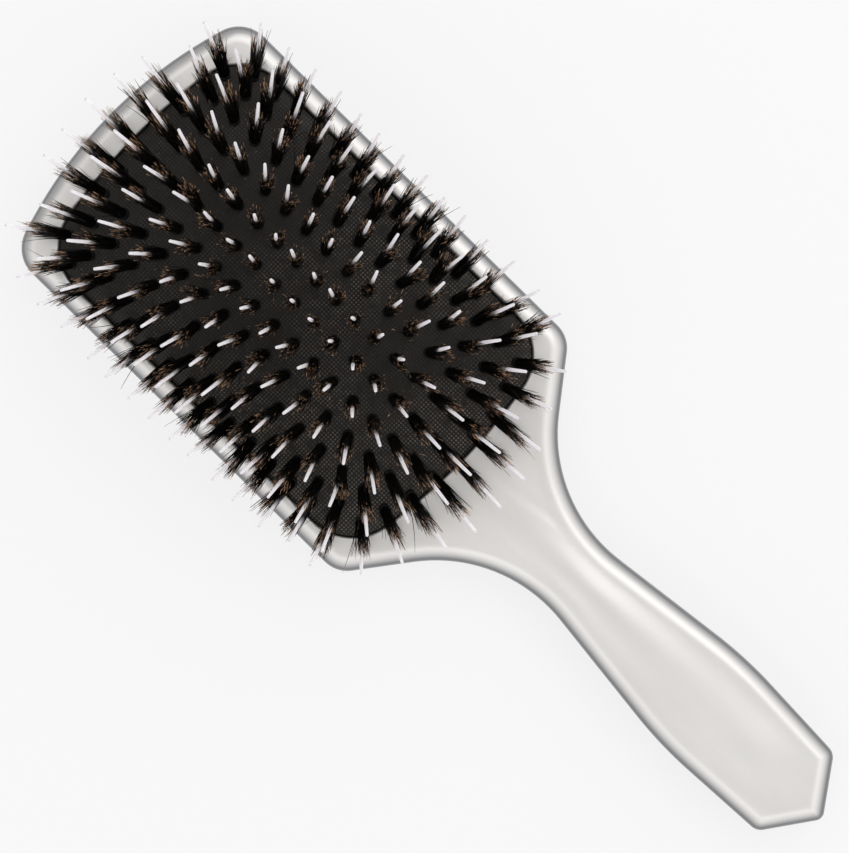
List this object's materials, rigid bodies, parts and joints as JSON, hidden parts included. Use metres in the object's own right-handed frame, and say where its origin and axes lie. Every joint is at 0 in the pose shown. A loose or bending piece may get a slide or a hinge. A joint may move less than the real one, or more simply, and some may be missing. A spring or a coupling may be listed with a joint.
{
  "type": "paddle brush",
  "caption": "Rectangular paddle hair brush with an air-cushioned rubber pad, mixed bristle and nylon pin tufts, and a straight tapered handle.",
  "frame": {"origin": "on the flat back face of the brush, under the middle of the cushion opening", "axes": "+X along the handle to its tip, +Y across the head, +Z the way the bristles point"},
  "size_m": [0.2545, 0.0904, 0.0477],
  "materials": {
    "silver_lacquer": "satin pearl-silver lacquer on moulded plastic",
    "black_plastic": "moulded, matte",
    "cushion_rubber": "black rubber with a fine woven texture",
    "anchor_plastic": "black moulded rubber, slight sheen",
    "bristle": "natural dark bristle with brown tips",
    "nylon": "translucent white nylon"
  },
  "bodies": {
    "body": {"back_shell": "silver_lacquer", "face_shell": "silver_lacquer", "cushion_frame": "black_plastic", "cushion": "cushion_rubber"},
    "tuft_ring_1": {"anchors_ring_1": "anchor_plastic", "bristles_ring_1": "bristle", "pins_ring_1": "nylon"},
    "tuft_ring_2": {"anchors_ring_2": "anchor_plastic", "bristles_ring_2": "bristle", "pins_ring_2": "nylon"},
    "tuft_ring_3": {"anchors_ring_3": "anchor_plastic", "bristles_ring_3": "bristle", "pins_ring_3": "nylon"},
    "tuft_ring_4": {"anchors_ring_4": "anchor_plastic", "bristles_ring_4": "bristle", "pins_ring_4": "nylon"},
    "tuft_ring_5": {"anchors_ring_5": "anchor_plastic", "bristles_ring_5": "bristle", "pins_ring_5": "nylon"},
    "tuft_ring_6": {"anchors_ring_6": "anchor_plastic", "bristles_ring_6": "bristle", "pins_ring_6": "nylon"}
  },
  "joints": [
    {"name": "cushion_press", "type": "slide", "parent": "body", "child": "tuft_ring_1", "axis": [0, 0, -1], "range_m": [0, 0.005], "stiffness_N_per_m": 203, "deforming": ["cushion"]},
    {"name": "ring_2_sink", "type": "slide", "parent": "body", "child": "tuft_ring_2", "axis": [0, 0, -1], "range_m": [0, 0.00464], "stiffness_N_per_m": 580},
    {"name": "ring_3_sink", "type": "slide", "parent": "body", "child": "tuft_ring_3", "axis": [0, 0, -1], "range_m": [0, 0.00396], "stiffness_N_per_m": 754},
    {"name": "ring_4_sink", "type": "slide", "parent": "body", "child": "tuft_ring_4", "axis": [0, 0, -1], "range_m": [0, 0.00301], "stiffness_N_per_m": 928},
    {"name": "ring_5_sink", "type": "slide", "parent": "body", "child": "tuft_ring_5", "axis": [0, 0, -1], "range_m": [0, 0.00188], "stiffness_N_per_m": 1160},
    {"name": "ring_6_sink", "type": "slide", "parent": "body", "child": "tuft_ring_6", "axis": [0, 0, -1], "range_m": [0, 0.000805], "stiffness_N_per_m": 1334}
  ],
  "couplings": [
    {"joint": "ring_2_sink", "follows": "cushion_press", "ratio": 0.929},
    {"joint": "ring_3_sink", "follows": "cushion_press", "ratio": 0.791},
    {"joint": "ring_4_sink", "follows": "cushion_press", "ratio": 0.603},
    {"joint": "ring_5_sink", "follows": "cushion_press", "ratio": 0.376},
    {"joint": "ring_6_sink", "follows": "cushion_press", "ratio": 0.161}
  ]
}
